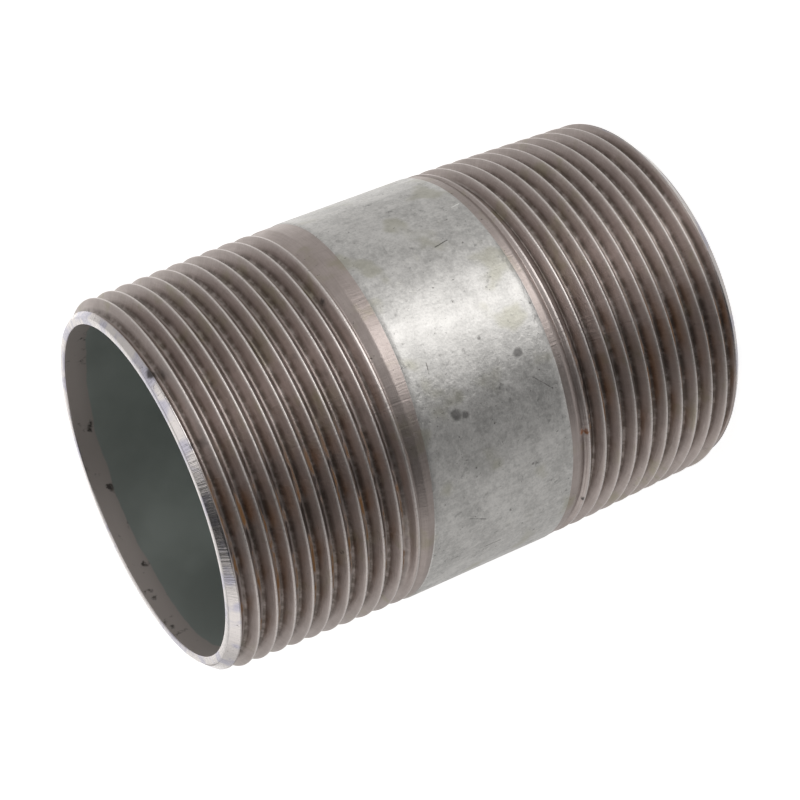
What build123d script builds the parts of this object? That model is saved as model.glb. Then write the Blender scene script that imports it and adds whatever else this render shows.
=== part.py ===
from build123d import *
import os
from math import atan, degrees, radians, tan

# Barrel nipple: one length of galvanised steel pipe with a right-hand taper pipe thread on each end.
# Millimetres, +Z up along the pipe axis, origin at the centre of the lower end face.

# Pipe
overall_length = 71.4
bare_pipe_diameter = 48.3
wall_thickness = 3.25
zinc_thickness = 0.1
bore_edge_break = 0.15

# Taper pipe thread, size 1 1/2: 11 turns to the inch, 55 degree form, 1 in 16 on the diameter
pitch = 25.4 / 11
thread_depth = 0.640327 * pitch
flank_angle = 27.5
root_width = 0.35
gauge_diameter = 47.803
gauge_length = 12.7
taper_on_radius = 1 / 32

# Inner end of each thread, as distances from the pipe end: the die's lead lifts the roots on a cone
# until the groove is gone, and a skimmed bare band runs from there to the edge of the zinc
run_out_start = 22.3
run_out_end = 25.2
lower_band_end = 26.15
upper_band_end = 26.6
upper_band_tilt = 2.5

# Where each thread begins: height of the first groove at +X, and the turn given to the upper thread
first_groove_height = 0.2915
upper_thread_turn = 108.7

# How far cutting shapes reach past what they cut
tool_margin = 0.25
cone_overrun = 2.5
core_allowance = 1.0

os.makedirs("parts", exist_ok=True)


def crest_radius(distance):
    """Radius of the thread crests at a distance from the pipe end."""
    return gauge_diameter / 2 + (distance - gauge_length) * taper_on_radius


def root_radius(distance):
    """Radius of the thread roots at a distance from the pipe end."""
    return crest_radius(distance) - thread_depth


bare_radius = bare_pipe_diameter / 2
zinc_radius = bare_radius + zinc_thickness
bore_radius = bare_radius - wall_thickness
core_radius = bore_radius - core_allowance

# The chamfer starts at the roots and leaves at 45 degrees
face_radius = root_radius(0)
chamfer_height = bare_radius - face_radius

# The groove's section has a narrow flat at the root, and stands a little proud of the crests
tool_depth = thread_depth + tool_margin
tool_width = root_width + 2 * tool_depth * tan(radians(flank_angle))

# The groove starts below the end face and stops past its run-out
tool_start = first_groove_height - pitch
tool_end = run_out_end + pitch / 2
tool_root = root_radius(tool_start)

# Groove tool: the section carried along the root helix
with BuildPart() as groove_tool:
    with BuildLine() as root_helix:
        Helix(
            pitch=pitch,
            height=tool_end - tool_start,
            radius=tool_root,
            center=(0, 0, tool_start),
            cone_angle=degrees(atan(taper_on_radius)),
        )
    with BuildSketch(Plane.XZ):
        with BuildLine():
            Polyline(
                (tool_root, tool_start - root_width / 2),
                (tool_root + tool_depth, tool_start - tool_width / 2),
                (tool_root + tool_depth, tool_start + tool_width / 2),
                (tool_root, tool_start + root_width / 2),
                close=True,
            )
        make_face()
    sweep(path=root_helix.wires()[0], is_frenet=True)
    # The run-out cone, from below the roots to beyond the pipe, takes the bottom off the last turns
    with BuildSketch(Plane.XZ):
        with BuildLine():
            run_out_rise = (bare_radius - root_radius(run_out_start)) / (run_out_end - run_out_start)
            cone_start = (
                root_radius(run_out_start) - cone_overrun * run_out_rise,
                run_out_start - cone_overrun,
            )
            cone_end = (bare_radius + cone_overrun * run_out_rise, run_out_end + cone_overrun)
            Polyline(
                cone_start,
                cone_end,
                (core_radius, cone_end[1]),
                (core_radius, cone_start[1]),
                close=True,
            )
        make_face()
    revolve(axis=Axis.Z, mode=Mode.SUBTRACT)

# One threaded end, worked as in the die: a blank on the crest taper, grooved, and then brought down
# to the pipe's own outside diameter and to the chamfer
with BuildPart() as threaded_end:
    with BuildSketch(Plane.XZ):
        with BuildLine():
            Polyline(
                (core_radius, 0),
                (crest_radius(0), 0),
                (crest_radius(overall_length / 2), overall_length / 2),
                (core_radius, overall_length / 2),
                close=True,
            )
        make_face()
    revolve(axis=Axis.Z)
    add(groove_tool.part, mode=Mode.SUBTRACT)
    with BuildSketch(Plane.XZ):
        with BuildLine():
            Polyline(
                (core_radius, 0),
                (face_radius, 0),
                (bare_radius, chamfer_height),
                (bare_radius, run_out_end),
                (core_radius, run_out_end),
                close=True,
            )
        make_face()
    revolve(axis=Axis.Z, mode=Mode.INTERSECT)

# The coated stretch between the threads. Its upper edge is tilted, where the skimming cut ran out
# sooner on one side of the pipe than on the other.
with BuildPart() as coated_length:
    with BuildSketch(Plane.XY.offset(lower_band_end)):
        Circle(zinc_radius)
    extrude(amount=overall_length - lower_band_end - run_out_start)
    upper_edge = Plane.XY.offset(overall_length - upper_band_end).rotated((0, upper_band_tilt, 0))
    split(bisect_by=upper_edge, keep=Keep.BOTTOM)

# The nipple: the pipe, its coat, a threaded end at the bottom and the same end turned over at the
# top, which keeps the thread right-handed, and one bore with broken edges through them all
with BuildPart() as nipple_body:
    with BuildSketch(Plane.XY.offset(run_out_end)):
        Circle(bare_radius)
    extrude(amount=overall_length - 2 * run_out_end)
    add(coated_length.part)
    add(threaded_end.part)
    with Locations(Location((0, 0, overall_length), (180, 0, upper_thread_turn))):
        add(threaded_end.part)
    with BuildSketch(Plane.XZ):
        with BuildLine():
            Polyline(
                (0, 0),
                (bore_radius + bore_edge_break, 0),
                (bore_radius, bore_edge_break),
                (bore_radius, overall_length - bore_edge_break),
                (bore_radius + bore_edge_break, overall_length),
                (0, overall_length),
                close=True,
            )
        make_face()
    revolve(axis=Axis.Z, mode=Mode.SUBTRACT)

nipple_body.part.label = "nipple_body"
export_step(nipple_body.part, "parts/nipple_body.step")
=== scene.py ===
import logging
import math
from dataclasses import dataclass, field
from enum import Enum

import bpy
import numpy as np
from mathutils import Matrix, Vector


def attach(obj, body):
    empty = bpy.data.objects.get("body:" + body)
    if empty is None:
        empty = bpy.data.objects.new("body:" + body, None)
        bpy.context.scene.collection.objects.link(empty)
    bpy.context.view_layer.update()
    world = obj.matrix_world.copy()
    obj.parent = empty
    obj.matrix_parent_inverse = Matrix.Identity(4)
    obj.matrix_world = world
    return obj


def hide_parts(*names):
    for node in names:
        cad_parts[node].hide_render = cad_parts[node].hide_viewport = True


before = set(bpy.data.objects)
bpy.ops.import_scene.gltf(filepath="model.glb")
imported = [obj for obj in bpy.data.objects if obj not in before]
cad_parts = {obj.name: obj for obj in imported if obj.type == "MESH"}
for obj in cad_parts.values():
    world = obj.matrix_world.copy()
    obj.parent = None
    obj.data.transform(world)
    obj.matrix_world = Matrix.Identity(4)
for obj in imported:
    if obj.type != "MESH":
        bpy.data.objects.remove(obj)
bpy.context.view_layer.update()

log = logging.getLogger("pipe_nipple")

MM = 0.001
CAD_NODE = "nipple_body"
BODY = "root"

Array = np.ndarray
Point = tuple[float, float, float]
Colour = tuple[float, float, float]


def smooth_min(first: Array, second: Array, blend: float) -> Array:
    """Lesser of two heights, with the corner between them rounded.

    The corner is a parabola that leaves each height one blend away from where they cross.

    Args:
        first: Heights in millimetres.
        second: Heights in millimetres.
        blend: Width of the rounding in millimetres.

    Returns:
        The rounded lesser height at each place.
    """
    share = np.clip(0.5 + 0.5 * (second - first) / blend, 0, 1)
    return second + (first - second) * share - blend * share * (1 - share)


def smooth_step(low: float, high: float, value: Array) -> Array:
    """Rises from 0 at low to 1 at high as 3 t squared less 2 t cubed."""
    t = np.clip((value - low) / (high - low), 0, 1)
    return t * t * (3 - 2 * t)


@dataclass(frozen=True)
class TaperThread:
    """The taper pipe thread's own form and sizes, in millimetres and degrees."""

    pitch: float = 25.4 / 11
    flank_angle: float = 27.5
    depth: float = 0.640327 * 25.4 / 11
    crest_rounding: float = 0.16
    gauge_diameter: float = 47.803
    gauge_length: float = 12.7
    taper_on_radius: float = 1 / 32
    arc_steps: int = 4
    flank_steps: int = 4

    def crest_radius(self, distance: Array) -> Array:
        """Radius of the crests at a distance from the pipe end, by the taper from the gauge plane."""
        return self.gauge_diameter / 2 + (distance - self.gauge_length) * self.taper_on_radius

    def root_radius(self, distance: Array) -> Array:
        """Radius of the roots at a distance from the pipe end."""
        return self.crest_radius(distance) - self.depth

    def root_rounding(self) -> float:
        """Radius of the root's arc: what the flanks leave, once the crest has its own."""
        angle = math.radians(self.flank_angle)
        sharp_height = self.pitch / (2 * math.tan(angle))
        return (sharp_height - self.depth) / (1 / math.sin(angle) - 1) - self.crest_rounding

    def arc_reach(self, radius: float) -> float:
        """How far an arc of this radius reaches along the axis before it meets the flank."""
        return radius * math.cos(math.radians(self.flank_angle))

    def form(self, across: Array) -> Array:
        """Height over the root at a distance along the axis from the nearest crest.

        A circular arc over the crest, a straight flank at the flank angle, and a wider arc in the root.

        Args:
            across: Distance from the crest, within half a pitch either way.

        Returns:
            Height over the root in millimetres, from 0 to the thread's depth.
        """
        from_crest = np.abs(across)
        from_root = self.pitch / 2 - from_crest
        tip, hollow = self.crest_rounding, self.root_rounding()
        crest = self.depth - tip + np.sqrt(np.maximum(tip**2 - from_crest**2, 0))
        root = hollow - np.sqrt(np.maximum(hollow**2 - from_root**2, 0))
        angle = math.radians(self.flank_angle)
        apex = self.depth + tip * (1 / math.sin(angle) - 1)
        flank = apex - from_crest / math.tan(angle)
        on_crest = from_crest < self.arc_reach(tip)
        in_root = from_root < self.arc_reach(hollow)
        return np.where(on_crest, crest, np.where(in_root, root, flank))

    def row_places(self) -> Array:
        """Where the mesh has its rows in one pitch, from a root to the next: close together on the arcs."""
        turn = np.sin(np.linspace(0, math.radians(90 - self.flank_angle), self.arc_steps + 1))
        crest = self.crest_rounding * turn
        root = self.pitch / 2 - self.root_rounding() * turn[::-1]
        flank = np.linspace(crest[-1], root[0], self.flank_steps + 1)[1:-1]
        half = np.concatenate([crest, flank, root])
        return np.concatenate([-half[::-1], half[1:-1]])


@dataclass(frozen=True)
class ThreadedEnd:
    """One threaded end of the pipe: its thread's place, and what limits the cut. Millimetres."""

    thread: TaperThread
    end_height: float
    inward: int
    crest_height: float
    bare_radius: float
    run_out_start: float = 22.3
    run_out_end: float = 25.2
    edge_rounding: float = 0.06

    def distance(self, height: Array) -> Array:
        """Distance of a height from this end of the pipe."""
        return (height - self.end_height) * self.inward

    def across(self, angle: Array, height: Array) -> Array:
        """Distance along the axis to the nearest crest, which climbs one pitch in each turn."""
        pitch = self.thread.pitch
        along = height - self.crest_height - pitch * angle / (2 * math.pi)
        return (along + pitch / 2) % pitch - pitch / 2

    def chamfer_radius(self, distance: Array) -> Array:
        """Radius of the chamfer: it starts at the roots and opens at 45 degrees."""
        return self.thread.root_radius(0) + distance

    def cut_radius(self, angle: Array, height: Array) -> Array:
        """Radius of the thread before the chamfer: the groove, the run-out, and the bare pipe's limit."""
        distance = self.distance(height)
        root = self.thread.root_radius(distance)
        start = self.thread.root_radius(self.run_out_start)
        slope = (self.bare_radius - start) / (self.run_out_end - self.run_out_start)
        run_out = start + (distance - self.run_out_start) * slope
        groove = root + self.thread.form(self.across(angle, height))
        groove = np.where(distance > self.run_out_start, np.maximum(groove, run_out), groove)
        return smooth_min(groove, np.full_like(groove, self.bare_radius), self.edge_rounding)

    def radius(self, angle: Array, height: Array) -> Array:
        """Radius of the bare steel at this end."""
        chamfer = self.chamfer_radius(self.distance(height))
        return smooth_min(self.cut_radius(angle, height), chamfer, self.edge_rounding)

    def groove_depth(self, angle: Array, height: Array) -> Array:
        """How deep a place lies under the crests, from 0 on a crest to 1 in a full root."""
        crest = np.minimum(self.thread.crest_radius(self.distance(height)), self.bare_radius)
        return np.clip((crest - self.cut_radius(angle, height)) / self.thread.depth, 0, 1)

    def chamfer_share(self, angle: Array, height: Array) -> Array:
        """1 where the chamfer has cut the thread away, and 0 where the thread stands."""
        gap = self.cut_radius(angle, height) - self.chamfer_radius(self.distance(height))
        return smooth_step(-0.03, 0.05, gap)

    def crest_share(self, angle: Array, height: Array) -> Array:
        """1 along the crests, and 0 on the flanks and where the thread has run out."""
        across = np.abs(self.across(angle, height))
        standing = 1 - smooth_step(self.run_out_start + 1, self.run_out_end, self.distance(height))
        return (1 - smooth_step(0.05, 0.17, across)) * standing

    def facing(self, angle: Array, height: Array) -> Array:
        """1 on the flanks that face up and -1 on those that face down, by the sine across the thread."""
        return np.sin(2 * math.pi * self.across(angle, height) / self.thread.pitch)


class Skin(Enum):
    """The finishes that the pipe's surface has, in the order of its material slots."""

    STEEL = 0
    ZINC = 1
    BORE = 2


@dataclass
class SurfaceMesh:
    """Collects grids of points and joins them into one closed mesh."""

    points: list[Array] = field(default_factory=list)
    quads: list[Array] = field(default_factory=list)
    skins: list[Array] = field(default_factory=list)
    values: dict[str, list[Array]] = field(default_factory=dict)
    count: int = 0

    def add_grid(self, grid: Array, skin: Skin, **values: Array) -> None:
        """Adds one grid, whose faces turn outwards when rows go up and columns go round to the left.

        Args:
            grid: Points, rows by columns by three, in millimetres.
            skin: The finish of its faces.
            values: One number for each point, by the name that the finishes read it under.
        """
        rows, columns = grid.shape[:2]
        index = np.arange(rows * columns).reshape(rows, columns) + self.count
        corners = [index[:-1, :-1], index[:-1, 1:], index[1:, 1:], index[1:, :-1]]
        quads = np.stack([c.ravel() for c in corners], axis=1)
        self.points.append(grid.reshape(-1, 3))
        self.quads.append(quads)
        self.skins.append(np.full(len(quads), skin.value))
        for name, value in values.items():
            self.values.setdefault(name, []).append(np.broadcast_to(value, (rows, columns)).ravel())
        self.count += rows * columns

    def build(self, name: str) -> bpy.types.Object:
        """Merges points that lie together, drops the faces left without area, and makes the object.

        Args:
            name: The piece's name.

        Returns:
            The object, at the origin, with its points in metres.
        """
        points = np.concatenate(self.points)
        quads = np.concatenate(self.quads)
        skins = np.concatenate(self.skins)
        keys = np.round(points, 4)
        _, first, same = np.unique(keys, axis=0, return_index=True, return_inverse=True)
        quads = same.reshape(-1)[quads]
        ahead = np.roll(quads, -1, axis=1)
        kept_corner = quads != ahead
        sides = kept_corner.sum(axis=1)
        whole = (sides == 4) & (quads[:, 0] != quads[:, 2]) & (quads[:, 1] != quads[:, 3])
        three = (sides == 3) & ~whole
        triangles = quads[three][kept_corner[three]].reshape(-1, 3)
        corners = np.concatenate([quads[whole].ravel(), triangles.ravel()])
        sizes = np.concatenate([np.full(whole.sum(), 4), np.full(len(triangles), 3)])
        face_skins = np.concatenate([skins[whole], skins[three]])

        mesh = bpy.data.meshes.new(name)
        mesh.vertices.add(len(first))
        mesh.vertices.foreach_set("co", (points[first] * MM).astype(np.float32).ravel())
        mesh.loops.add(len(corners))
        mesh.loops.foreach_set("vertex_index", corners.astype(np.int32))
        mesh.polygons.add(len(sizes))
        starts = np.concatenate([[0], np.cumsum(sizes)[:-1]])
        mesh.polygons.foreach_set("loop_start", starts.astype(np.int32))
        mesh.update(calc_edges=True)
        mesh.polygons.foreach_set("material_index", face_skins.astype(np.int32))
        mesh.polygons.foreach_set("use_smooth", np.ones(len(sizes), bool))
        for value_name, parts in self.values.items():
            attribute = mesh.attributes.new(value_name, "FLOAT", "POINT")
            attribute.data.foreach_set("value", np.concatenate(parts)[first].astype(np.float32))
        mesh.validate(verbose=False)
        mesh.update()
        piece = bpy.data.objects.new(name, mesh)
        bpy.context.scene.collection.objects.link(piece)
        return piece


@dataclass
class NippleBody:
    """The whole nipple: one pipe with two threaded ends, its zinc between them and its bore. Millimetres."""

    overall_length: float = 71.4
    bare_radius: float = 24.15
    zinc_radius: float = 24.25
    bore_radius: float = 20.9
    mouth_radius: float = 21.03
    mouth_depth: float = 2.6
    face_edge: float = 0.06
    lower_zinc_edge: float = 26.15
    upper_zinc_edge: float = 26.6
    upper_zinc_tilt: float = 2.5
    zinc_step: float = 0.14
    zone_end: float = 25.4
    lower_crest: float = 22.227
    upper_crest: float = 69.257
    columns: int = 156
    zinc_rows: int = 26
    bore_rows: int = 22
    seed: int = 11
    thread: TaperThread = field(default_factory=TaperThread)

    def __post_init__(self) -> None:
        """Sets out both ends and the slow wobble that every surface has."""
        self.lower = ThreadedEnd(self.thread, 0, 1, self.lower_crest, self.bare_radius)
        self.upper = ThreadedEnd(
            self.thread, self.overall_length, -1, self.upper_crest, self.bare_radius
        )
        self.angles = np.linspace(0, 2 * math.pi, self.columns + 1)
        draw = np.random.default_rng(self.seed)
        self.wave_turns = draw.integers(1, 9, 14)
        self.wave_rise = draw.uniform(-0.9, 0.9, 14)
        self.wave_phase = draw.uniform(0, 2 * math.pi, 14)

    def wobble(self, angle: Array, height: Array) -> Array:
        """A slow unevenness from -1 to 1: a sum of waves, each with whole turns round the pipe."""
        angle, height = np.broadcast_arrays(angle, height)
        phase = (
            self.wave_turns * angle[..., None]
            + self.wave_rise * height[..., None]
            + self.wave_phase
        )
        return np.cos(phase).mean(axis=-1)

    def zinc_lower_edge(self, angle: Array) -> Array:
        """Height of the zinc's lower edge, level but for a slight unevenness."""
        return self.lower_zinc_edge + 0.12 * self.wobble(angle * 2, np.zeros_like(angle))

    def zinc_upper_edge(self, angle: Array) -> Array:
        """Height of the zinc's upper edge: a plane that leans down towards +X, with a slight unevenness."""
        lean = math.tan(math.radians(self.upper_zinc_tilt)) * self.zinc_radius * np.cos(angle)
        level = self.overall_length - self.upper_zinc_edge - lean
        return level + 0.12 * self.wobble(angle * 2, np.full_like(angle, 5.0))

    def outer_radius(self, angle: Array, height: Array) -> Array:
        """Radius of the outside: bare steel, with the zinc's step on it between the threads.

        Args:
            angle: Angle from +X, in radians.
            height: Height over the lower end.

        Returns:
            The radius in millimetres, never more than the zinc's.
        """
        bare = np.where(
            height < self.overall_length / 2,
            self.lower.radius(angle, height),
            self.upper.radius(angle, height),
        )
        above = smooth_step(0, self.zinc_step, height - self.zinc_lower_edge(angle))
        below = smooth_step(0, self.zinc_step, self.zinc_upper_edge(angle) - height)
        coated = np.minimum(above, below)
        zinc = self.zinc_radius - 0.012 + 0.012 * self.wobble(angle, height * 0.5)
        steel = bare - 0.012 + 0.012 * self.wobble(angle, height)
        return steel + (zinc - steel) * coated

    def place(self, radius: Array, height: Array) -> Array:
        """Points at these radii and heights, one column for each angle round the pipe."""
        shape = np.broadcast_shapes(radius.shape, height.shape, self.angles.shape)
        radius = np.broadcast_to(radius, shape)
        height = np.broadcast_to(height, shape)
        return np.stack(
            [radius * np.cos(self.angles), radius * np.sin(self.angles), height], axis=-1
        )

    def thread_rows(self, end: ThreadedEnd, low: float, high: float) -> Array:
        """Heights of the mesh's rows over a threaded stretch, which climb with the helix.

        A row is a place across the thread, and climbs one pitch in each turn, so that it meets the row
        above it where the turn closes. Rows that leave the stretch lie on its edge and have no area there.

        Args:
            end: The threaded end.
            low: Lower edge of the stretch.
            high: Upper edge of the stretch.

        Returns:
            Heights, rows by columns.
        """
        pitch = self.thread.pitch
        first_turn = math.floor((low - pitch - end.crest_height) / pitch)
        last_turn = math.ceil((high - end.crest_height) / pitch) + 1
        turns = np.arange(first_turn, last_turn + 1)
        starts = end.crest_height + (turns[:, None] * pitch + self.thread.row_places()).ravel()
        heights = starts[:, None] + pitch * self.angles / (2 * math.pi)
        heights = np.clip(heights, low, high)
        snap = 0.025
        heights = np.where(heights < low + snap, low, heights)
        heights = np.where(heights > high - snap, high, heights)
        inside = (heights > low).any(axis=1) & (heights < high).any(axis=1)
        rows = np.flatnonzero(inside)
        return heights[max(rows[0] - 1, 0) : rows[-1] + 2]

    def add_outside(self, mesh: SurfaceMesh, heights: Array, skin: Skin) -> None:
        """Adds a stretch of the outside with rows at these heights."""
        angle = np.broadcast_to(self.angles, np.broadcast_shapes(heights.shape, self.angles.shape))
        heights = np.broadcast_to(heights, angle.shape)
        low_end = heights < self.overall_length / 2
        groove = np.where(
            low_end, self.lower.groove_depth(angle, heights), self.upper.groove_depth(angle, heights)
        )
        chamfer = np.where(
            low_end, self.lower.chamfer_share(angle, heights), self.upper.chamfer_share(angle, heights)
        )
        crest = np.where(
            low_end, self.lower.crest_share(angle, heights), self.upper.crest_share(angle, heights)
        )
        facing = np.where(low_end, self.lower.facing(angle, heights), self.upper.facing(angle, heights))
        grid = self.place(self.outer_radius(angle, heights), heights)
        mesh.add_grid(grid, skin, groove=groove, chamfer=chamfer, crest=crest, facing=facing)

    def add_face(self, mesh: SurfaceMesh, height: float, inward: int) -> None:
        """Adds one end face: a flat ring with its edges broken, out to where the thread zone starts.

        Args:
            mesh: The mesh in the making.
            height: Height of the face.
            inward: 1 at the lower end and -1 at the upper one.
        """
        edge = self.face_edge
        outer = self.outer_radius(self.angles, np.full_like(self.angles, height + inward * edge))
        inner = np.full_like(self.angles, self.mouth_radius)
        nick = 0.02 * self.wobble(self.angles * 3, np.full_like(self.angles, height))
        profile = [
            (inner, inward * edge * 2),
            (inner + 0.015, inward * edge * 0.8),
            (inner + 0.05, inward * edge * 0.2),
            (inner + 0.11 + nick, 0.0),
            ((inner + outer) / 2, 0.0),
            (outer - 0.1 + nick, 0.0),
            (outer - 0.03, inward * edge * 0.35),
            (outer, inward * edge),
        ]
        radii = np.stack([r for r, _ in profile])
        heights = height + np.array([h for _, h in profile])[:, None]
        grid = self.place(radii, heights)
        if inward < 0:
            grid = grid[::-1]
        none = np.zeros(1)
        mesh.add_grid(grid, Skin.STEEL, groove=none, chamfer=none + 1, crest=none, facing=none)

    def add_bore(self, mesh: SurfaceMesh) -> None:
        """Adds the bore, from the upper mouth down to the lower: straight, with mouths slightly opened."""
        edge = self.face_edge * 2
        depth = np.concatenate([[edge, 0.5, 1.2, 2.0], np.linspace(self.mouth_depth, 12, 8)])
        middle = np.linspace(12, self.overall_length - 12, self.bore_rows)[1:-1]
        heights = np.concatenate([depth, middle, self.overall_length - depth[::-1]])[::-1]
        from_end = np.minimum(heights, self.overall_length - heights)
        opened = 1 - smooth_step(edge, self.mouth_depth, from_end)
        radii = self.bore_radius + (self.mouth_radius - self.bore_radius) * opened
        grid = self.place(radii[:, None], heights[:, None])
        none = np.zeros(1)
        mesh.add_grid(grid, Skin.BORE, groove=none, chamfer=none, crest=none, facing=none)

    def build(self) -> bpy.types.Object:
        """Makes the closed surface: lower face, thread, bare band, zinc, bare band, thread, face and bore."""
        mesh = SurfaceMesh()
        length = self.overall_length
        self.add_face(mesh, 0.0, 1)
        lower_rows = self.thread_rows(self.lower, self.face_edge, self.zone_end)
        self.add_outside(mesh, lower_rows, Skin.STEEL)
        step = np.array([-0.05, 0.0, 0.3, 0.6, 1.0])[:, None] * self.zinc_step
        low_edge = self.zinc_lower_edge(self.angles)
        high_edge = self.zinc_upper_edge(self.angles)
        share = np.linspace(0, 1, 4)[:, None]
        band = self.zone_end + (low_edge + step[0] - self.zone_end) * share
        self.add_outside(mesh, band, Skin.STEEL)
        self.add_outside(mesh, low_edge + step, Skin.ZINC)
        share = np.linspace(0, 1, self.zinc_rows)[:, None]
        zinc_low, zinc_high = low_edge + step[-1], high_edge - step[-1]
        self.add_outside(mesh, zinc_low + (zinc_high - zinc_low) * share, Skin.ZINC)
        self.add_outside(mesh, high_edge - step[::-1], Skin.ZINC)
        zone_start = length - self.zone_end
        band_start = high_edge - step[0]
        share = np.linspace(0, 1, 6)[:, None]
        self.add_outside(mesh, band_start + (zone_start - band_start) * share, Skin.STEEL)
        upper_rows = self.thread_rows(self.upper, zone_start, length - self.face_edge)
        self.add_outside(mesh, upper_rows, Skin.STEEL)
        self.add_face(mesh, length, -1)
        self.add_bore(mesh)
        return mesh.build("threaded_pipe")


Input = bpy.types.NodeSocket | float


@dataclass(frozen=True)
class Spot:
    """A small blot on the outside, by its angle from +X in degrees and its height. Millimetres."""

    angle: float
    height: float
    radius: float = 0.3
    pipe_radius: float = 24.2

    def centre(self) -> Vector:
        """Its place, in millimetres."""
        angle = math.radians(self.angle)
        across = self.pipe_radius
        return Vector((across * math.cos(angle), across * math.sin(angle), self.height))


@dataclass(frozen=True)
class Scratch:
    """A straight scratch between two places on the outside, with half its width in millimetres."""

    start: Spot
    end: Spot
    width: float = 0.12


class NodeTree:
    """Adds shader nodes to one tree, and hands back their outputs."""

    def __init__(self, tree: bpy.types.NodeTree) -> None:
        """Empties the tree."""
        self.tree = tree
        tree.nodes.clear()

    def add(self, kind: str, **settings: object) -> bpy.types.Node:
        """Adds a node of this kind with these properties set."""
        node = self.tree.nodes.new(kind)
        for name, value in settings.items():
            setattr(node, name, value)
        return node

    def feed(self, target: bpy.types.NodeSocket, value: object) -> None:
        """Links a socket into the target, or sets the target's own value."""
        if isinstance(value, bpy.types.NodeSocket):
            self.tree.links.new(value, target)
        else:
            target.default_value = value

    def math(self, operation: str, first: Input, second: Input = 0.0) -> bpy.types.NodeSocket:
        """One arithmetic step."""
        node = self.add("ShaderNodeMath", operation=operation)
        self.feed(node.inputs[0], first)
        self.feed(node.inputs[1], second)
        return node.outputs[0]

    def scaled(self, value: Input, factor: float, offset: float = 0.0) -> bpy.types.NodeSocket:
        """A value times a factor, plus an offset."""
        node = self.add("ShaderNodeMath", operation="MULTIPLY_ADD")
        self.feed(node.inputs[0], value)
        node.inputs[1].default_value = factor
        node.inputs[2].default_value = offset
        return node.outputs[0]

    def product(self, *values: Input) -> bpy.types.NodeSocket:
        """All the values multiplied together."""
        result = values[0]
        for value in values[1:]:
            result = self.math("MULTIPLY", result, value)
        return result

    def step(
        self, value: Input, low: float, high: float, start: float = 0.0, end: float = 1.0
    ) -> bpy.types.NodeSocket:
        """Goes smoothly from start where the value is low to end where it is high."""
        node = self.add("ShaderNodeMapRange", interpolation_type="SMOOTHSTEP")
        for slot, number in zip(("Value", "From Min", "From Max", "To Min", "To Max"),
                                (value, low, high, start, end)):
            self.feed(node.inputs[slot], number)
        return node.outputs["Result"]

    def blend(self, share: Input, first: object, second: object) -> bpy.types.NodeSocket:
        """A colour between two, by a share from 0 to 1."""
        node = self.add("ShaderNodeMix", data_type="RGBA")
        self.feed(node.inputs["Factor"], share)
        for slot, colour in ((6, first), (7, second)):
            if not isinstance(colour, bpy.types.NodeSocket):
                colour = (*colour, 1.0)
            self.feed(node.inputs[slot], colour)
        return node.outputs[2]

    def value(self, name: str) -> bpy.types.NodeSocket:
        """A number that the mesh holds at each point."""
        return self.add("ShaderNodeAttribute", attribute_name=name).outputs["Fac"]

    def place(self) -> bpy.types.NodeSocket:
        """The place on the piece, in metres."""
        return self.add("ShaderNodeTexCoord").outputs["Object"]

    def stretch(self, place: bpy.types.NodeSocket, scale: Point) -> bpy.types.NodeSocket:
        """The place with each axis multiplied, so that a pattern on it is drawn out along the lesser ones."""
        node = self.add("ShaderNodeMapping", vector_type="POINT")
        self.feed(node.inputs["Vector"], place)
        node.inputs["Scale"].default_value = scale
        return node.outputs["Vector"]

    def noise(
        self,
        place: bpy.types.NodeSocket,
        size_mm: float,
        detail: float = 2.0,
        roughness: float = 0.5,
        distortion: float = 0.0,
    ) -> bpy.types.NodeSocket:
        """Noise from 0 to 1 whose blotches are about this large."""
        node = self.add("ShaderNodeTexNoise")
        self.feed(node.inputs["Vector"], place)
        node.inputs["Scale"].default_value = 1000 / size_mm
        node.inputs["Detail"].default_value = detail
        node.inputs["Roughness"].default_value = roughness
        node.inputs["Distortion"].default_value = distortion
        return node.outputs["Fac"]

    def vector(self, operation: str, first: object, second: object = (0, 0, 0)) -> bpy.types.Node:
        """One step of vector arithmetic."""
        node = self.add("ShaderNodeVectorMath", operation=operation)
        self.feed(node.inputs[0], first)
        self.feed(node.inputs[1], second)
        return node

    def across_flanks(self, place: bpy.types.NodeSocket, rise: float) -> bpy.types.NodeSocket:
        """The place moved out to one radius, with its height shrunk, so that patterns cross the flanks."""
        flat = self.vector("MULTIPLY", place, (1, 1, 0)).outputs[0]
        rim = self.vector("NORMALIZE", flat).outputs[0]
        rim = self.vector("MULTIPLY", rim, (24 * MM, 24 * MM, 0)).outputs[0]
        upright = self.vector("MULTIPLY", place, (0, 0, rise)).outputs[0]
        return self.vector("ADD", rim, upright).outputs[0]

    def ragged(
        self, place: bpy.types.NodeSocket, size_mm: float, shift_mm: float
    ) -> bpy.types.NodeSocket:
        """The place shifted a little this way and that, which gives what is measured from it ragged edges."""
        node = self.add("ShaderNodeTexNoise")
        self.feed(node.inputs["Vector"], place)
        node.inputs["Scale"].default_value = 1000 / size_mm
        node.inputs["Detail"].default_value = 2.0
        centred = self.vector("SUBTRACT", node.outputs["Color"], (0.5, 0.5, 0.5)).outputs[0]
        reach = 2 * shift_mm * MM
        shift = self.vector("MULTIPLY", centred, (reach, reach, reach)).outputs[0]
        return self.vector("ADD", place, shift).outputs[0]

    def spots(self, place: bpy.types.NodeSocket, spots: "tuple[Spot, ...]") -> bpy.types.NodeSocket:
        """1 inside any of the spots, fading to 0 past its edge."""
        total: Input = 0.0
        for spot in spots:
            away = self.vector("DISTANCE", place, spot.centre() * MM).outputs["Value"]
            inside = self.step(away, 0.6 * spot.radius * MM, 1.25 * spot.radius * MM, 1, 0)
            total = self.math("MAXIMUM", total, inside)
        return total

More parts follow.
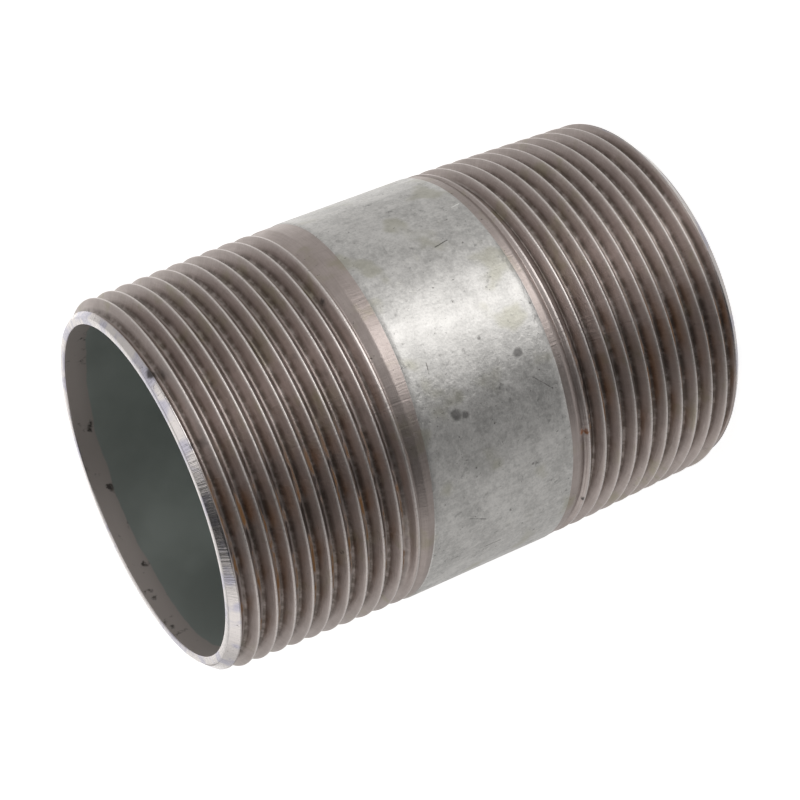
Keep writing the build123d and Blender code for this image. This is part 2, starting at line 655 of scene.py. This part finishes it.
    def scratches(
        self, place: bpy.types.NodeSocket, scratches: "tuple[Scratch, ...]"
    ) -> bpy.types.NodeSocket:
        """1 along any of the scratches, fading to 0 past its width."""
        total: Input = 0.0
        for scratch in scratches:
            start, end = scratch.start.centre() * MM, scratch.end.centre() * MM
            run = end - start
            from_start = self.vector("SUBTRACT", place, start).outputs[0]
            share = self.vector("DOT_PRODUCT", from_start, run / run.length_squared)
            share = self.step(share.outputs["Value"], 0, 1)
            share.node.interpolation_type = "LINEAR"
            nearest = self.vector("SCALE", run)
            self.feed(nearest.inputs["Scale"], share)
            away = self.vector("DISTANCE", from_start, nearest.outputs[0]).outputs["Value"]
            width = scratch.width * MM
            total = self.math("MAXIMUM", total, self.step(away, 0.3 * width, width, 1, 0))
        return total

    def height(self, place: bpy.types.NodeSocket) -> bpy.types.NodeSocket:
        """Height on the piece, in metres."""
        node = self.add("ShaderNodeSeparateXYZ")
        self.feed(node.inputs[0], place)
        return node.outputs["Z"]

    def towards(self, place: bpy.types.NodeSocket, degrees: float) -> bpy.types.NodeSocket:
        """1 on the side of the pipe that faces this angle from +X, and -1 on the far side."""
        flat = self.add("ShaderNodeVectorMath", operation="MULTIPLY")
        self.feed(flat.inputs[0], place)
        flat.inputs[1].default_value = (1, 1, 0)
        unit = self.add("ShaderNodeVectorMath", operation="NORMALIZE")
        self.feed(unit.inputs[0], flat.outputs[0])
        dot = self.add("ShaderNodeVectorMath", operation="DOT_PRODUCT")
        self.feed(dot.inputs[0], unit.outputs[0])
        angle = math.radians(degrees)
        dot.inputs[1].default_value = (math.cos(angle), math.sin(angle), 0)
        return dot.outputs["Value"]

    def bump(
        self,
        height: bpy.types.NodeSocket,
        depth_mm: float,
        normal: bpy.types.NodeSocket | None = None,
    ) -> bpy.types.NodeSocket:
        """A normal for a relief that is this deep where the height goes from 0 to 1."""
        node = self.add("ShaderNodeBump")
        node.inputs["Strength"].default_value = 1.0
        node.inputs["Distance"].default_value = depth_mm * MM
        self.feed(node.inputs["Height"], height)
        if normal is not None:
            self.feed(node.inputs["Normal"], normal)
        return node.outputs["Normal"]


class Finish:
    """A finish for one kind of surface."""

    name: str

    def dress(self, tree: NodeTree, shader: bpy.types.Node) -> None:
        """Adds the finish's own nodes and feeds them to the shader."""
        raise NotImplementedError

    def material(self) -> bpy.types.Material:
        """Makes the material."""
        material = bpy.data.materials.new(self.name)
        material.use_nodes = True
        tree = NodeTree(material.node_tree)
        shader = tree.add("ShaderNodeBsdfPrincipled")
        output = tree.add("ShaderNodeOutputMaterial")
        tree.feed(output.inputs["Surface"], shader.outputs["BSDF"])
        self.dress(tree, shader)
        return material


@dataclass(frozen=True)
class CutSteel(Finish):
    """Bare steel, cut by the die on the threads and turned on the chamfers and faces."""

    name: str = "cut_steel"
    flank: Colour = (0.40, 0.345, 0.325)
    flank_light: Colour = (0.56, 0.495, 0.475)
    oily: Colour = (0.40, 0.37, 0.27)
    # Crest colour: lighter steel along the crests, a painted highlight standing in for their glint, partly
    # worn bright.
    crest: Colour = (0.82, 0.77, 0.75)
    # Dark colour painted into the thread roots as shade.
    root_shade: Colour = (0.115, 0.09, 0.075)
    turned: Colour = (0.74, 0.70, 0.69)
    tint: Colour = (0.42, 0.42, 0.56)
    speck: Colour = (0.035, 0.028, 0.024)
    rust: Colour = (0.23, 0.115, 0.045)
    rust_spot: Colour = (0.22, 0.075, 0.02)
    nicks: tuple[Spot, ...] = (
        Spot(-78.4, 54.1, 0.55, 23.4),
        Spot(-70.0, 56.6, 0.45, 23.4),
        Spot(-147.0, 13.4, 0.55, 23.4),
        Spot(-58.2, 49.1, 0.6, 23.4),
        Spot(-148.3, 22.9, 0.35, 23.8),
        Spot(-150.4, 24.0, 0.4, 24.1),
        Spot(-59.0, 70.5, 0.8, 22.6),
        Spot(-83.8, 70.2, 0.5, 22.6),
        Spot(-130.0, 57.6, 0.4, 23.4),
        Spot(40.0, 60.2, 0.5, 23.4),
        Spot(150.0, 12.0, 0.5, 23.4),
    )
    rust_spots: tuple[Spot, ...] = (
        Spot(-123.3, 24.3, 0.55, 24.1),
        Spot(-133.9, 8.6, 0.4, 23.2),
        Spot(-142.4, 10.8, 0.35, 23.4),
        Spot(75.0, 23.9, 0.5, 24.1),
    )

    def dress(self, tree: NodeTree, shader: bpy.types.Node) -> None:
        """Blotches, chatter across the flanks, die marks round them, crests lightened as a painted highlight
        with some wear, painted shade in the roots, and rust.
        """
        place = tree.place()
        groove = tree.value("groove")
        chamfer = tree.value("chamfer")
        crest = tree.value("crest")
        facing = tree.value("facing")
        on_thread = tree.math("SUBTRACT", 1.0, chamfer)

        blotch = tree.noise(place, 3.6, 4, 0.6)
        grain = tree.noise(place, 0.3, 3, 0.65)
        marks = tree.noise(tree.stretch(place, (0.05, 0.05, 1)), 0.15, 3, 0.6)
        ticks = tree.noise(tree.across_flanks(place, 0.06), 0.3, 2, 0.6)

        tone = tree.scaled(blotch, 0.5, -0.05)
        tone = tree.math("ADD", tone, tree.scaled(marks, 0.35))
        tone = tree.math("ADD", tone, tree.scaled(grain, 0.2))
        tone = tree.math("ADD", tone, tree.scaled(ticks, 0.2))
        colour = tree.blend(tree.step(tone, 0.3, 0.85), self.flank, self.flank_light)
        oily = tree.step(tree.noise(place, 5.0, 3, 0.6), 0.55, 0.72, 0, 0.55)
        colour = tree.blend(oily, colour, self.oily)

        # Painted shade: the roots on the up-facing side are darkened in patches.
        under = tree.product(tree.step(groove, 0.5, 1.0), tree.step(facing, -0.35, 0.35))
        patchy = tree.step(tree.noise(place, 1.3, 3, 0.6), 0.3, 0.6, 0.35, 0.9)
        colour = tree.blend(tree.product(under, patchy), colour, self.root_shade)

        strand = tree.noise(tree.stretch(place, (0.22, 0.22, 1)), 1.0, 3, 0.6)
        side = tree.step(tree.towards(place, -132), 0.6, 0.93, 0.12, 1)
        rust = tree.product(
            tree.step(groove, 0.25, 0.6), tree.step(facing, 0.25, -0.3), tree.step(strand, 0.44, 0.6),
            side, on_thread,
        )
        colour = tree.blend(rust, colour, self.rust)

        tinted = tree.step(tree.noise(place, 3.0, 2), 0.45, 0.62, 0, 0.6)
        turned = tree.blend(tinted, self.turned, self.tint)
        colour = tree.blend(chamfer, colour, turned)
        # Painted highlight: the crests are lightened in grainy patches, partly as wear.
        crest_highlight = tree.product(crest, on_thread, tree.step(grain, 0.25, 0.55, 0.35, 0.95))
        colour = tree.blend(crest_highlight, colour, self.crest)

        pitted = tree.step(tree.noise(place, 0.5, 3, 0.7), 0.64, 0.72)
        loose = tree.step(tree.noise(place, 5.0, 2), 0.4, 0.62, 0.25, 1)
        behind = tree.step(facing, 0.3, -0.3, 0.35, 1)
        specks = tree.product(pitted, loose, behind)
        ragged = tree.ragged(place, 0.5, 0.25)
        specks = tree.math("MAXIMUM", specks, tree.product(tree.spots(ragged, self.nicks), 0.92))
        colour = tree.blend(specks, colour, self.speck)
        spots = tree.spots(ragged, self.rust_spots)
        colour = tree.blend(spots, colour, self.rust_spot)
        tree.feed(shader.inputs["Base Color"], colour)

        rusted = tree.math("MAXIMUM", rust, spots)
        metal = tree.math("SUBTRACT", 1.0, tree.scaled(rusted, 0.85))
        metal = tree.math("SUBTRACT", metal, tree.scaled(specks, 0.7))
        tree.feed(shader.inputs["Metallic"], metal)
        rough = tree.scaled(grain, 0.2, 0.33)
        rough = tree.math("ADD", rough, tree.scaled(rusted, 0.3))
        rough = tree.math("SUBTRACT", rough, tree.scaled(chamfer, 0.2))
        tree.feed(shader.inputs["Roughness"], rough)

        normal = tree.bump(ticks, 0.03)
        normal = tree.bump(marks, 0.014, normal)
        normal = tree.bump(grain, 0.02, normal)
        tree.feed(shader.inputs["Normal"], normal)


@dataclass(frozen=True)
class ZincCoat(Finish):
    """Dull hot-dip zinc: mottled, flecked, smudged, and scratched in places."""

    name: str = "zinc_coat"
    light: Colour = (0.72, 0.71, 0.695)
    dark: Colour = (0.45, 0.445, 0.435)
    fleck: Colour = (0.09, 0.085, 0.08)
    smudge: Colour = (0.21, 0.205, 0.20)
    oily: Colour = (0.43, 0.42, 0.33)
    bright: Colour = (0.95, 0.95, 0.94)
    smudges: tuple[Spot, ...] = (
        Spot(-93.6, 30.4, 0.6),
        Spot(-103.0, 40.3, 0.7),
        Spot(-103.9, 39.2, 0.5),
        Spot(-85.9, 34.3, 0.24),
        Spot(-82.1, 26.5, 0.2),
        Spot(-139.3, 34.95, 0.22),
        Spot(-125.9, 31.8, 0.2),
        Spot(-155.6, 30.6, 0.2),
    )
    bright_scratches: tuple[Scratch, ...] = (
        Scratch(Spot(-43.8, 27.7), Spot(-43.4, 26.6), 0.11),
    )
    dark_scratches: tuple[Scratch, ...] = (
        Scratch(Spot(-56.0, 33.2), Spot(-55.2, 31.4), 0.12),
        Scratch(Spot(-101.3, 29.6), Spot(-106.4, 27.5), 0.10),
        Scratch(Spot(-86.8, 41.6), Spot(-89.8, 41.8), 0.09),
        Scratch(Spot(-152.2, 37.7), Spot(-152.3, 35.7), 0.11),
        Scratch(Spot(-135.7, 40.7), Spot(-138.5, 38.5), 0.09),
    )

    def dress(self, tree: NodeTree, shader: bpy.types.Node) -> None:
        """Mottling and grain, dark flecks, smudges, faint streaks, scratches and a fine relief."""
        place = tree.place()
        cloud = tree.noise(place, 4.0, 4, 0.6)
        mottle = tree.noise(place, 0.75, 4, 0.65)
        grain = tree.noise(place, 0.28, 2, 0.6)
        streak = tree.noise(tree.stretch(place, (1, 1, 0.08)), 0.6, 2)
        tone = tree.scaled(cloud, 0.45)
        tone = tree.math("ADD", tone, tree.scaled(mottle, 0.45))
        tone = tree.math("ADD", tone, tree.scaled(grain, 0.3))
        tone = tree.math("ADD", tone, tree.scaled(streak, 0.15))
        colour = tree.blend(tree.step(tone, 0.48, 0.86), self.dark, self.light)
        oily = tree.step(tree.noise(place, 5.0, 2), 0.56, 0.7, 0, 0.5)
        colour = tree.blend(oily, colour, self.oily)
        blots = tree.step(tree.noise(place, 1.6, 5, 0.7), 0.58, 0.72, 0, 0.75)
        blots = tree.product(blots, tree.step(cloud, 0.62, 0.42, 0.15, 1))
        ragged = tree.ragged(place, 0.6, 0.3)
        blots = tree.math("MAXIMUM", blots, tree.product(tree.spots(ragged, self.smudges), 0.8))
        colour = tree.blend(blots, colour, self.smudge)
        flecks = tree.step(tree.noise(place, 0.55, 4, 0.7), 0.64, 0.72)
        slightly = tree.ragged(place, 0.4, 0.06)
        flecks = tree.math("MAXIMUM", flecks, tree.scratches(slightly, self.dark_scratches))
        colour = tree.blend(tree.product(flecks, 0.85), colour, self.fleck)
        bright = tree.scratches(slightly, self.bright_scratches)
        colour = tree.blend(bright, colour, self.bright)
        tree.feed(shader.inputs["Base Color"], colour)
        shader.inputs["Metallic"].default_value = 0.88
        rough = tree.scaled(mottle, 0.25, 0.30)
        rough = tree.math("ADD", rough, tree.scaled(bright, 0.1))
        tree.feed(shader.inputs["Roughness"], rough)
        normal = tree.bump(mottle, 0.035)
        normal = tree.bump(grain, 0.018, normal)
        normal = tree.bump(streak, 0.006, normal)
        tree.feed(shader.inputs["Normal"], normal)


@dataclass(frozen=True)
class BoreCoat(Finish):
    """Grey-green zinc in the bore, worked off to bare steel in a wavy band at each mouth."""

    name: str = "bore_coat"
    coat: Colour = (0.36, 0.39, 0.375)
    coat_light: Colour = (0.46, 0.50, 0.48)
    band: Colour = (0.55, 0.49, 0.47)
    smudge: Colour = (0.10, 0.085, 0.08)
    band_depth_mm: float = 2.7

    def dress(self, tree: NodeTree, shader: bpy.types.Node) -> None:
        """A cloudy coat, and the band with its wavy edge and its smudges."""
        place = tree.place()
        height = tree.height(place)
        length = NippleBody.overall_length * MM
        from_end = tree.math("MINIMUM", height, tree.math("SUBTRACT", length, height))
        wave = tree.math("MULTIPLY", tree.noise(place, 6.0, 2), 1.2 * MM)
        reach = tree.math("ADD", from_end, wave)
        edge = (self.band_depth_mm + 0.6) * MM
        band = tree.step(reach, edge - 0.12 * MM, edge + 0.12 * MM, 1, 0)

        cloud = tree.noise(place, 9.0, 3)
        colour = tree.blend(tree.step(cloud, 0.3, 0.7), self.coat, self.coat_light)
        smudges = tree.step(tree.noise(place, 2.4, 4, 0.65), 0.56, 0.68)
        bare = tree.blend(smudges, self.band, self.smudge)
        colour = tree.blend(band, colour, bare)
        tree.feed(shader.inputs["Base Color"], colour)
        shader.inputs["Metallic"].default_value = 0.6
        rough = tree.scaled(cloud, 0.15, 0.38)
        tree.feed(shader.inputs["Roughness"], rough)
        normal = tree.bump(tree.noise(place, 0.6, 2), 0.006)
        tree.feed(shader.inputs["Normal"], normal)


@dataclass(frozen=True)
class Viewpoint:
    """The camera: where it looks from, how it is turned, and its lens."""

    azimuth: float = 0.0
    elevation: float = 22.566
    roll: float = -112.098
    distance_mm: float = 280.49
    aim_mm: Point = (-1.43, 0.191, 36.16)
    sensor_mm: float = 36.0
    lens_mm: float = 101.461

    def build(self) -> bpy.types.Object:
        """Makes the camera on its line of sight through the aim, level at first and then rolled."""
        azimuth, elevation = math.radians(self.azimuth), math.radians(self.elevation)
        sight = Vector((
            math.sin(azimuth) * math.cos(elevation),
            math.cos(azimuth) * math.cos(elevation),
            -math.sin(elevation),
        ))
        camera = bpy.data.cameras.new("camera")
        camera.sensor_width = self.sensor_mm
        camera.lens = self.lens_mm
        camera.clip_start = 0.01
        camera.clip_end = 20
        eye = (Vector(self.aim_mm) - sight * self.distance_mm) * MM
        level = sight.to_track_quat("-Z", "Y").to_matrix().to_4x4()
        roll = Matrix.Rotation(math.radians(self.roll), 4, "Z")
        holder = bpy.data.objects.new("camera", camera)
        holder.matrix_world = Matrix.Translation(eye) @ level @ roll
        bpy.context.scene.collection.objects.link(holder)
        bpy.context.scene.camera = holder
        return holder


@dataclass(frozen=True)
class Softbox:
    """A soft patch of light or shade in the studio round the object."""

    towards: Point
    inner_degrees: float
    outer_degrees: float
    strength: float


@dataclass(frozen=True)
class Studio:
    """A plain pale floor lit evenly, and a soft tent of light with a shaded side."""

    tent: float = 0.55
    floor_glow: float = 0.85
    floor_size: float = 6.0
    boxes: tuple[Softbox, ...] = (
        Softbox((0.375, -0.843, -0.384), 6, 26, 2.2),
        Softbox((0.2, 0.9, -0.2), 15, 45, 0.8),
        Softbox((0.33, -0.31, 0.89), 10, 30, 0.5),
        Softbox((-0.75, 0.3, 0.59), 10, 35, 0.5),
        Softbox((-0.35, -0.05, 0.93), 16, 34, -0.5),
        Softbox((-0.5, -0.6, 0.4), 20, 40, -0.5),
        Softbox((-0.46, -0.8, -0.38), 14, 34, -0.45),
    )

    def light_tent(self) -> None:
        """The tent's light by direction: an even level, and each box's strength inside its own cone."""
        world = bpy.data.worlds.new("studio")
        bpy.context.scene.world = world
        world.use_nodes = True
        tree = NodeTree(world.node_tree)
        direction = tree.add("ShaderNodeTexCoord").outputs["Generated"]
        level: Input = self.tent
        for box in self.boxes:
            dot = tree.add("ShaderNodeVectorMath", operation="DOT_PRODUCT")
            tree.feed(dot.inputs[0], direction)
            dot.inputs[1].default_value = Vector(box.towards).normalized()
            near = math.cos(math.radians(box.inner_degrees))
            far = math.cos(math.radians(box.outer_degrees))
            share = tree.step(dot.outputs["Value"], far, near, 0, box.strength)
            level = tree.math("ADD", level, share)
        level = tree.math("MAXIMUM", level, 0.02)
        background = tree.add("ShaderNodeBackground")
        background.inputs["Color"].default_value = (1.0, 0.985, 0.965, 1)
        tree.feed(background.inputs["Strength"], level)
        output = tree.add("ShaderNodeOutputWorld")
        tree.feed(output.inputs["Surface"], background.outputs[0])

    def floor(self) -> bpy.types.Object:
        """A pale floor with a little light of its own, which the pipe's sheen doesn't mirror."""
        half = self.floor_size / 2
        corners = [(-half, -half, 0), (half, -half, 0), (half, half, 0), (-half, half, 0)]
        mesh = bpy.data.meshes.new("floor")
        mesh.from_pydata(corners, [], [(0, 1, 2, 3)])
        material = bpy.data.materials.new("pale_floor")
        material.use_nodes = True
        tree = NodeTree(material.node_tree)
        shader = tree.add("ShaderNodeBsdfPrincipled")
        shader.inputs["Base Color"].default_value = (0.5, 0.5, 0.5, 1)
        shader.inputs["Roughness"].default_value = 0.9
        shader.inputs["Emission Color"].default_value = (1, 1, 1, 1)
        shader.inputs["Emission Strength"].default_value = self.floor_glow
        output = tree.add("ShaderNodeOutputMaterial")
        tree.feed(output.inputs["Surface"], shader.outputs["BSDF"])
        mesh.materials.append(material)
        floor = bpy.data.objects.new("floor", mesh)
        floor.visible_glossy = False
        bpy.context.scene.collection.objects.link(floor)
        return floor

    def build(self) -> None:
        """Sets up the tent, the floor and plain colours in the picture."""
        self.light_tent()
        self.floor()
        bpy.context.scene.view_settings.view_transform = "Standard"


def main() -> None:
    """Builds the nipple and the studio, and reports each piece."""
    logging.basicConfig(level=logging.INFO, format="%(message)s")
    body = NippleBody()
    piece = body.build()
    for finish in (CutSteel(), ZincCoat(), BoreCoat()):
        piece.data.materials.append(finish.material())
    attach(piece, BODY)
    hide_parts(CAD_NODE)
    triangles = sum(len(p.vertices) - 2 for p in piece.data.polygons)
    log.info("%s: %d faces, %d triangles", piece.name, len(piece.data.polygons), triangles)
    Studio().build()
    Viewpoint().build()


if __name__ == "__main__":
    main()
